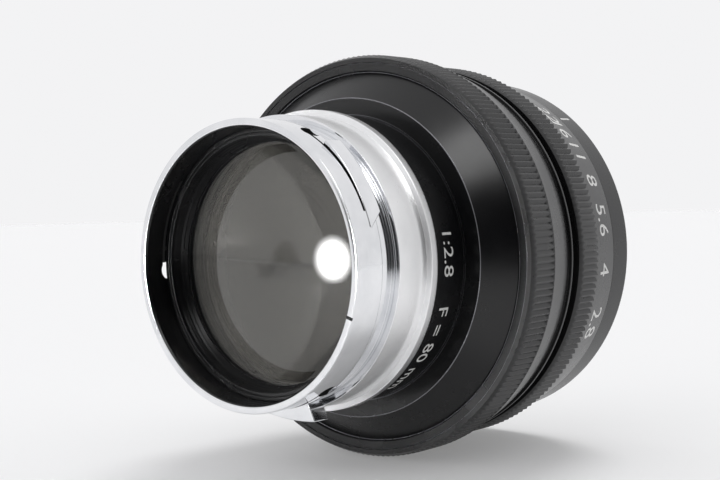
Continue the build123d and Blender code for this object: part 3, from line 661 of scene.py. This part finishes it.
stopMarks = {
    "stops": [("2.8", 23.5), ("4", 6.0), ("5.6", -9.4), ("8", -22.2), ("11", -32.8), ("16", -41.2), ("22", -48.5)],
    "height": 42.9, "tall": 4.2, "wideShare": 0.86, "lift": 0.012, "sunk": 0.05,
    "startHeight": 38.2, "startRadius": 34.1, "endHeight": 47.08, "endRadius": 32.72,
}
neckMarks = {
    "text": "1:2.8    F = 80 mm", "firstTurn": -10.6, "lastTurn": 60.0, "low": 4.5, "tall": 2.55, "radius": 25.1,
    "lift": 0.012, "sunk": 0.05,
}
indexMark = {"turn": -48.5, "front": 48.1, "back": 51.2, "wide": 0.45, "radius": 32.54, "lift": 0.012, "sunk": 0.05}
markSlice = 0.4  # width of the strips that let a mark bend round its ring


def flatText(text):
    curve = bpy.data.curves.new("markText", "FONT")
    curve.body = text
    curve.size = 10
    curve.resolution_u = 4
    holder = bpy.data.objects.new("markText", curve)
    bpy.context.collection.objects.link(holder)
    bpy.context.view_layer.update()
    mesh = bpy.data.meshes.new_from_object(holder.evaluated_get(bpy.context.evaluated_depsgraph_get()))
    bpy.data.objects.remove(holder)
    bpy.data.curves.remove(curve)
    bm = bmesh.new()
    bm.from_mesh(mesh)
    bpy.data.meshes.remove(mesh)
    bmesh.ops.remove_doubles(bm, verts=bm.verts[:], dist=1e-4)
    return bm


def sizeText(bm, wide, tall):
    lows = [min(vert.co[axis] for vert in bm.verts) for axis in (0, 1)]
    highs = [max(vert.co[axis] for vert in bm.verts) for axis in (0, 1)]
    scaleY = tall / (highs[1] - lows[1])
    scaleX = wide / (highs[0] - lows[0]) if wide else scaleY
    for vert in bm.verts:
        vert.co.x = (vert.co.x - (lows[0] + highs[0]) / 2) * scaleX
        vert.co.y = (vert.co.y - lows[1]) * scaleY


def wrapMarks(bm, middleTurn, low, reachAt, lift, sunk):
    # x runs round the ring and y along the axis, both in mm, then the face is thickened into the metal
    wide = max(abs(vert.co.x) for vert in bm.verts)
    cuts = int(wide * 2 / markSlice) + 1
    for cut in range(-cuts, cuts + 1):
        bmesh.ops.bisect_plane(bm, geom=bm.verts[:] + bm.edges[:] + bm.faces[:], plane_co=(cut * markSlice, 0, 0),
                               plane_no=(1, 0, 0))
    bmesh.ops.triangulate(bm, faces=bm.faces[:])
    for vert in bm.verts:
        height = low + vert.co.y
        reach = reachAt(height)
        vert.co = turnPoint(reach + lift, middleTurn + vert.co.x / reach * 180 / pi, height)
    bmesh.ops.recalc_face_normals(bm, faces=bm.faces[:])
    for item in bmesh.ops.extrude_face_region(bm, geom=bm.faces[:])["geom"]:
        if isinstance(item, bmesh.types.BMVert):
            shrunk = 1 - (lift + sunk) * mm / hypot(item.co.x, item.co.z)
            item.co.x *= shrunk
            item.co.z *= shrunk
    bmesh.ops.recalc_face_normals(bm, faces=bm.faces[:])


def bandReach(height):
    share = (height - stopMarks["startHeight"]) / (stopMarks["endHeight"] - stopMarks["startHeight"])
    return stopMarks["startRadius"] + (stopMarks["endRadius"] - stopMarks["startRadius"]) * share


def makeMarks():
    for text, turn in stopMarks["stops"]:
        bm = flatText(text)
        sizeText(bm, None, stopMarks["tall"])
        for vert in bm.verts:
            vert.co.x *= stopMarks["wideShare"]
        wrapMarks(bm, turn, stopMarks["height"] - stopMarks["tall"] / 2, bandReach, stopMarks["lift"],
                  stopMarks["sunk"])
        finishPiece(bm, "stop" + text.replace(".", "_"), [whiteFill], "aperture", evenNormals=False)
    bm = flatText(neckMarks["text"])
    span = radians(neckMarks["lastTurn"] - neckMarks["firstTurn"]) * neckMarks["radius"]
    sizeText(bm, span, neckMarks["tall"])
    wrapMarks(bm, (neckMarks["firstTurn"] + neckMarks["lastTurn"]) / 2, neckMarks["low"],
              lambda height: neckMarks["radius"], neckMarks["lift"], neckMarks["sunk"])
    finishPiece(bm, "neckMarks", [whiteFill], "lens_body", evenNormals=False)
    bm = bmesh.new()
    bmesh.ops.create_grid(bm, x_segments=2, y_segments=4, size=0.5)
    for vert in bm.verts:
        vert.co.x *= indexMark["wide"]
        vert.co.y = (vert.co.y + 0.5) * (indexMark["back"] - indexMark["front"])
    wrapMarks(bm, indexMark["turn"], indexMark["front"], lambda height: indexMark["radius"], indexMark["lift"],
              indexMark["sunk"])
    finishPiece(bm, "indexMark", [whiteFill], "lens_body", evenNormals=False)


makeMarks()
print("marks made")


# the pieces kept as the CAD made them

keptNodes = {
    "drive_screw": steel, "detent_ball": steel, "detent_spring": brass, "detent_screw": steel,
    "iris_base": mattBlack, "iris_cam_ring": blackAnodised, "iris_snap_ring": blackAnodised,
    "pair_retaining_ring": mattBlack,
}
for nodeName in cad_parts:
    if nodeName.startswith("iris_blade_"):
        keptNodes[nodeName] = bluedSteel
for nodeName, finish in keptNodes.items():
    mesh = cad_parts[nodeName].data
    mesh.materials.clear()
    mesh.materials.append(finish)
print("kept nodes painted")


# floor, light and camera

studio = {
    # places and sizes in mm; the sky is dimmed one way and in one small patch
    "floorZ": -36.0, "floorMiddle": (-1100, 750), "floorReach": 2600, "fadeStart": 1460, "fadeEnd": 1760,
    "floorColour": (0.60, 0.60, 0.605), "floorGlow": 0.215,
    "skyColour": (0.895, 0.895, 0.905), "skyStrength": 0.96,
    "dims": [  # direction, where the dimming starts and is full as a cosine, and its share
        {"towards": (0.82, -0.56, 0.10), "from": 0.64, "to": 0.86, "share": 0.97},
        {"towards": (-0.56, -0.83, -0.035), "from": 0.9945, "to": 0.9988, "share": 0.9},
    ],
    # each panel is seen only in reflections: direction, distance and size in mm, power
    "panels": [
        {"name": "keyPanel", "towards": (0.4875, -0.439, 0.755), "distance": 750, "size": 330, "power": 1.25},
    ],
    "window": {"middle": (-61.5, -248.6, -5.0), "facing": (0.302, 0.953, 0.025), "reach": 36, "glow": 80},
    "sun": {"towards": (-0.12, 0.56, 0.82), "spread": 22, "strength": 1.45},
}


def makeFloor():
    bm = bmesh.new()
    bmesh.ops.create_circle(bm, cap_ends=True, segments=96, radius=studio["floorReach"] * mm)
    across, along = studio["floorMiddle"]
    bmesh.ops.translate(bm, verts=bm.verts[:], vec=(across * mm, along * mm, studio["floorZ"] * mm))
    mesh = bpy.data.meshes.new("floor")
    bm.to_mesh(mesh)
    bm.free()
    floor = bpy.data.objects.new("floor", mesh)
    bpy.context.collection.objects.link(floor)
    finish, nodes, links, shader = newFinish("paleFloor")
    spot, parts = objectParts(nodes, links)
    shader.inputs["Base Color"].default_value = (*studio["floorColour"], 1)
    shader.inputs["Roughness"].default_value = 0.7
    shader.inputs["Specular IOR Level"].default_value = 0.2
    shader.inputs["Emission Color"].default_value = (1, 1, 1, 1)
    shader.inputs["Emission Strength"].default_value = studio["floorGlow"]
    offsets = [mathNode(nodes, links, "SUBTRACT", parts[place], studio["floorMiddle"][place] * mm)
               for place in (0, 1)]
    squares = [mathNode(nodes, links, "MULTIPLY", offset, offset) for offset in offsets]
    reach = mathNode(nodes, links, "SQRT", mathNode(nodes, links, "ADD", *squares))
    links.new(rangeNode(nodes, links, reach, studio["fadeStart"] * mm, studio["fadeEnd"] * mm, 1, 0),
              shader.inputs["Alpha"])
    mesh.materials.append(finish)


def makeSky():
    world = bpy.data.worlds.new("studioLight")
    bpy.context.scene.world = world
    world.use_nodes = True
    nodes, links = world.node_tree.nodes, world.node_tree.links
    background = nodes["Background"]
    spot = nodes.new("ShaderNodeTexCoord")
    path = nodes.new("ShaderNodeLightPath")
    strength = None
    for dim in studio["dims"]:
        facing = nodes.new("ShaderNodeVectorMath")
        facing.operation = "DOT_PRODUCT"
        links.new(spot.outputs["Generated"], facing.inputs[0])
        facing.inputs[1].default_value = Vector(dim["towards"]).normalized()
        left = rangeNode(nodes, links, facing.outputs["Value"], dim["from"], dim["to"], 1, 1 - dim["share"])
        strength = left if strength is None else mathNode(nodes, links, "MULTIPLY", strength, left)
    strength = mathNode(nodes, links, "MULTIPLY", strength, studio["skyStrength"])
    links.new(mathNode(nodes, links, "MAXIMUM", strength, path.outputs["Is Camera Ray"]),
              background.inputs["Strength"])
    background.inputs["Color"].default_value = (*studio["skyColour"], 1)


def placeFacing(thing, towards, distance):
    direction = Vector(towards).normalized()
    thing.location = direction * distance * mm
    thing.rotation_euler = direction.to_track_quat("Z", "Y").to_euler()
    bpy.context.collection.objects.link(thing)


def makePanels():
    for panel in studio["panels"]:
        light = bpy.data.lights.new(panel["name"], "AREA")
        light.shape = "SQUARE"
        light.size = panel["size"] * mm
        light.energy = panel["power"]
        lamp = bpy.data.objects.new(panel["name"], light)
        lamp.visible_camera = lamp.visible_diffuse = False
        placeFacing(lamp, panel["towards"], panel["distance"])
    light = bpy.data.lights.new("softSun", "SUN")
    light.angle = radians(studio["sun"]["spread"])
    light.energy = studio["sun"]["strength"]
    lamp = bpy.data.objects.new("softSun", light)
    lamp.visible_glossy = False
    placeFacing(lamp, studio["sun"]["towards"], 1000)


def makeWindow():
    # a round glow with a soft edge, seen only in reflections
    window = studio["window"]
    middle = Vector(window["middle"]) * mm
    reach = window["reach"] * mm
    bm = bmesh.new()
    bmesh.ops.create_circle(bm, cap_ends=True, segments=64, radius=reach)
    bmesh.ops.transform(bm, verts=bm.verts[:], matrix=Matrix.Translation(middle)
                        @ Vector(window["facing"]).to_track_quat("Z", "Y").to_matrix().to_4x4())
    mesh = bpy.data.meshes.new("softWindow")
    bm.to_mesh(mesh)
    bm.free()
    pane = bpy.data.objects.new("softWindow", mesh)
    bpy.context.collection.objects.link(pane)
    pane.visible_camera = pane.visible_diffuse = pane.visible_shadow = pane.visible_transmission = False
    finish, nodes, links, shader = newFinish("windowGlow")
    spot, _ = objectParts(nodes, links)
    apart = nodes.new("ShaderNodeVectorMath")
    apart.operation = "DISTANCE"
    links.new(spot, apart.inputs[0])
    apart.inputs[1].default_value = middle
    share = rangeNode(nodes, links, apart.outputs["Value"], reach * 0.4, reach, 1, 0)
    glow = nodes.new("ShaderNodeEmission")
    links.new(mathNode(nodes, links, "MULTIPLY", share, window["glow"]), glow.inputs["Strength"])
    clear = nodes.new("ShaderNodeBsdfTransparent")
    mix = nodes.new("ShaderNodeMixShader")
    links.new(share, mix.inputs[0])
    links.new(clear.outputs[0], mix.inputs[1])
    links.new(glow.outputs[0], mix.inputs[2])
    links.new(mix.outputs[0], nodes["Material Output"].inputs["Surface"])
    nodes.remove(shader)
    mesh.materials.append(finish)


cameraView = {
    "place": (0.15677, -0.18115, 0.01104), "right": (0.7798, 0.6255, -0.0257), "up": (0.0, 0.0410, 0.9992),
    "back": (0.6261, -0.7791, 0.0320), "lens": 70, "sensor": 36,
}


def makeCamera():
    data = bpy.data.cameras.new("view")
    data.lens = cameraView["lens"]
    data.sensor_width = cameraView["sensor"]
    data.clip_start = 0.01
    camera = bpy.data.objects.new("view", data)
    turned = Matrix((cameraView["right"], cameraView["up"], cameraView["back"])).transposed()
    camera.matrix_world = Matrix.Translation(cameraView["place"]) @ turned.to_quaternion().to_matrix().to_4x4()
    bpy.context.collection.objects.link(camera)
    bpy.context.scene.camera = camera


makeFloor()
makeSky()
makePanels()
makeWindow()
makeCamera()
bpy.context.scene.view_settings.view_transform = "Standard"
print("studio made")
